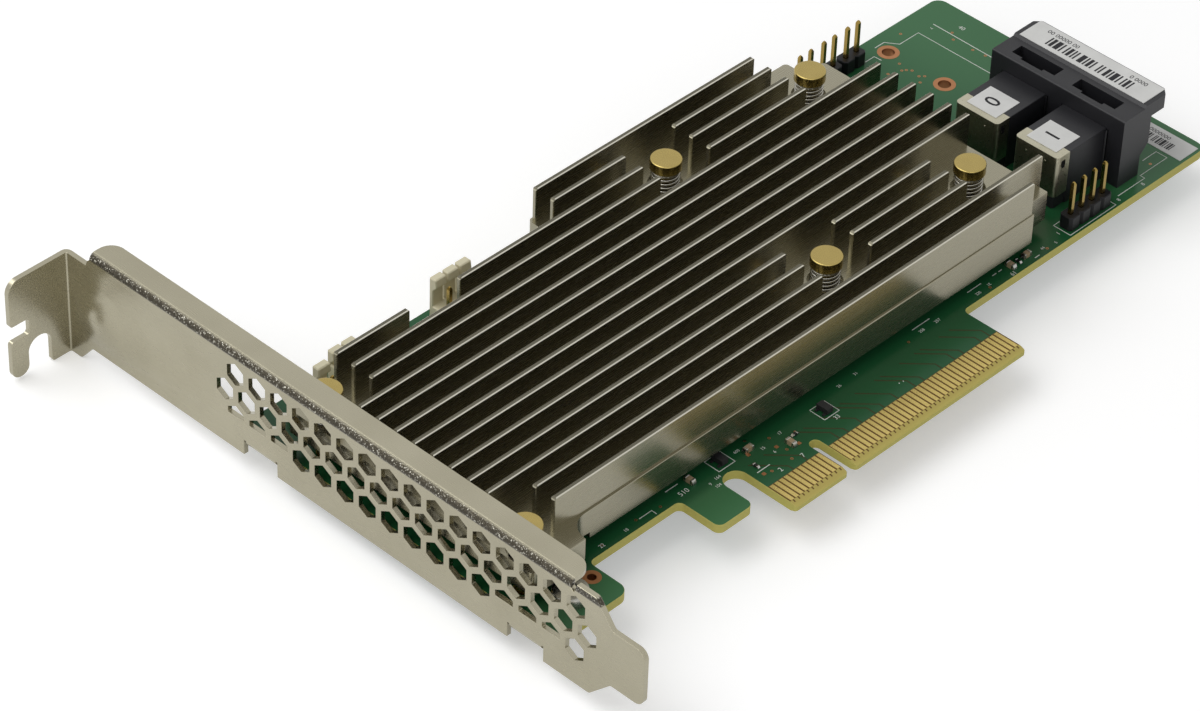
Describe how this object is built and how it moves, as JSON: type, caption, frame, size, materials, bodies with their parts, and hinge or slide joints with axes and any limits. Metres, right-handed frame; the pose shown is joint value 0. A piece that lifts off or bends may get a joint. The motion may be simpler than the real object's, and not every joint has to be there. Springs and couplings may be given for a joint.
{
  "type": "storage controller card",
  "caption": "Low-profile expansion card with a finned heat sink on sprung screws, a vented slot bracket, two drive-cable ports and pin headers.",
  "frame": {"origin": "where the centreline of the key notch meets the end of the contact edge, on the component face of the board", "axes": "+X along the board away from the slot bracket, +Y from the contact edge to the top edge, +Z out of the component face"},
  "size_m": [0.1683, 0.12, 0.0216],
  "materials": {
    "board": "glossy green solder mask",
    "gold": "gold plate",
    "nickel_steel": "nickel-plated steel sheet",
    "screw_steel": "zinc-plated",
    "aluminium": "milled and clear-anodised",
    "brass": "turned",
    "spring_steel": "drawn wire",
    "chip": "moulded epoxy",
    "thermal_pad": "silicone sheet",
    "inductor": "pressed iron powder",
    "capacitor": "fired ceramic",
    "resistor": "glazed film",
    "black_plastic": "moulded",
    "header_plastic": "moulded",
    "cream_plastic": "moulded nylon",
    "cage_metal": "nickel-plated sheet",
    "label": "plain printed label"
  },
  "bodies": {
    "root": {"circuit_board": "board", "edge_contacts_component": "gold", "edge_contacts_solder": "gold", "slot_bracket": "nickel_steel", "bracket_screws": "screw_steel", "heat_sink": "aluminium", "heat_sink_screws": "brass", "screw_springs": "spring_steel", "board_nuts": "screw_steel", "raid_processor": "chip", "processor_thermal_pad": "thermal_pad", "memory_chips": "chip", "memory_thermal_pads": "thermal_pad", "power_inductors": "inductor", "voltage_regulators": "chip", "firmware_flash": "chip", "signal_transistors": "chip", "ceramic_capacitors": "capacitor", "chip_resistors": "resistor", "port_frame": "black_plastic", "port_0_housing": "black_plastic", "port_1_housing": "black_plastic", "port_0_cage": "cage_metal", "port_1_cage": "cage_metal", "port_0_contacts": "gold", "port_1_contacts": "gold", "signal_header_base": "header_plastic", "signal_header_pins": "gold", "jumper_0_base": "header_plastic", "jumper_0_pins": "gold", "jumper_1_base": "header_plastic", "jumper_1_pins": "gold", "jumper_2_base": "header_plastic", "jumper_2_pins": "gold", "cache_header_base": "cream_plastic", "cache_header_pins": "gold", "sense_header_base": "cream_plastic", "sense_header_pins": "gold", "power_header_base": "cream_plastic", "power_header_pins": "gold", "frame_label": "label", "port_labels": "label", "board_label": "label"}
  },
  "joints": []
}
